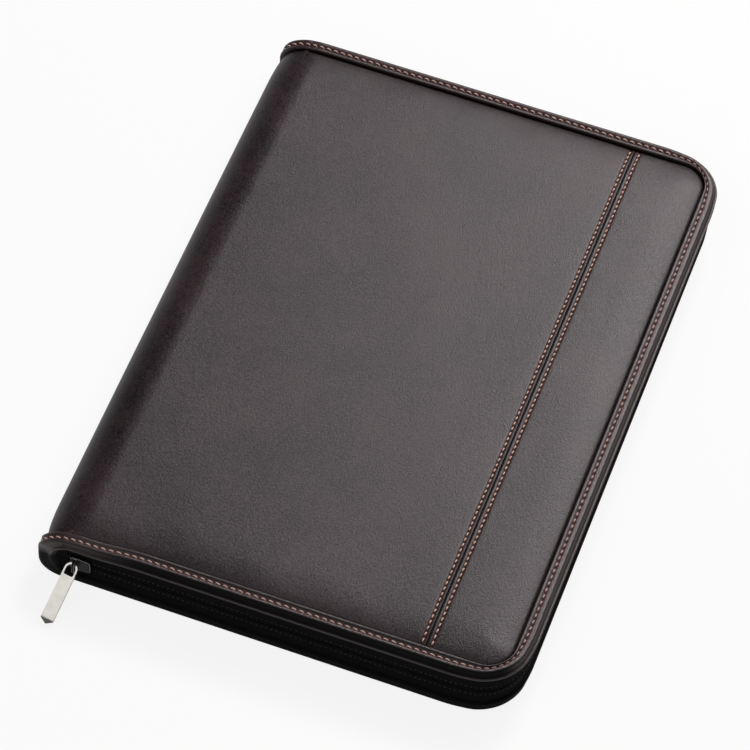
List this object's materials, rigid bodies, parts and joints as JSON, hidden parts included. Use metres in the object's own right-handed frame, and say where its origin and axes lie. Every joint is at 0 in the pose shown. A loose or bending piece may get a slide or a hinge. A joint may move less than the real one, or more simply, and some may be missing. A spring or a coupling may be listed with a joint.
{
  "type": "portfolio folder",
  "caption": "Zip-round leather portfolio folder with padded covers, stitched binding, soft rounded spine, coil zip with puller, writing pad and inside pockets.",
  "frame": {"origin": "middle of the closed folder's footprint, on the surface that its back cover rests on", "axes": "+X from the spine to the fore edge, +Y up the page, +Z from the back cover to the front cover"},
  "size_m": [0.252, 0.3791, 0.033],
  "materials": {
    "leather": "smooth dark brown-black leather, soft satin sheen",
    "lining": "fine woven black lining",
    "textile": "black woven tape, matte",
    "foam": "grey padding foam",
    "board": "grey-brown stiffening board",
    "paper": "white writing paper, matte",
    "card": "plain pad card",
    "nylon": "black nylon",
    "nickel": "polished nickel plate"
  },
  "bodies": {
    "back": {"back_cover": "leather", "back_foam": "foam", "back_board": "board", "back_lining": "lining", "back_binding": "leather", "lower_zip_tape": "textile", "lower_zip_teeth": "nylon", "zip_stop_lower_start": "nickel", "zip_stop_lower_finish": "nickel", "pad_pocket": "lining", "pad_card": "card", "pad_sheets": "paper", "pad_header": "card"},
    "spine": {"spine_cover": "leather", "spine_foam": "foam", "spine_board": "board", "spine_lining": "lining", "spine_binding_top": "leather", "spine_binding_bottom": "leather", "spine_end_top": "textile", "spine_end_bottom": "textile", "pen_loop": "textile"},
    "front": {"front_cover_main": "leather", "front_cover_side": "leather", "front_foam": "foam", "front_board": "board", "front_lining": "lining", "front_binding": "leather", "upper_zip_tape": "textile", "upper_zip_teeth": "nylon", "zip_stop_upper_start": "nickel", "zip_stop_upper_finish": "nickel", "document_pocket": "lining", "card_pocket_1": "lining", "card_pocket_2": "lining", "card_pocket_3": "lining"},
    "slider": {"zip_slider": "nickel"},
    "puller": {"zip_puller": "nickel"}
  },
  "joints": [
    {"name": "spine_fold", "type": "hinge", "parent": "back", "child": "spine", "pos_m": [-0.10935, 0, 0], "axis": [0, -1, 0], "range_deg": [0, 90]},
    {"name": "cover_fold", "type": "hinge", "parent": "spine", "child": "front", "pos_m": [-0.10935, 0, 0.033], "axis": [0, -1, 0], "range_deg": [0, 90]},
    {"name": "slider_slide", "type": "slide", "parent": "back", "child": "slider", "axis": [1, 0, 0], "range_m": [0, 0.198]},
    {"name": "puller_swing", "type": "hinge", "parent": "slider", "child": "puller", "pos_m": [-0.1053, -0.17625, 0.0181], "axis": [1, 0, 0], "range_deg": [-115, 50]}
  ]
}
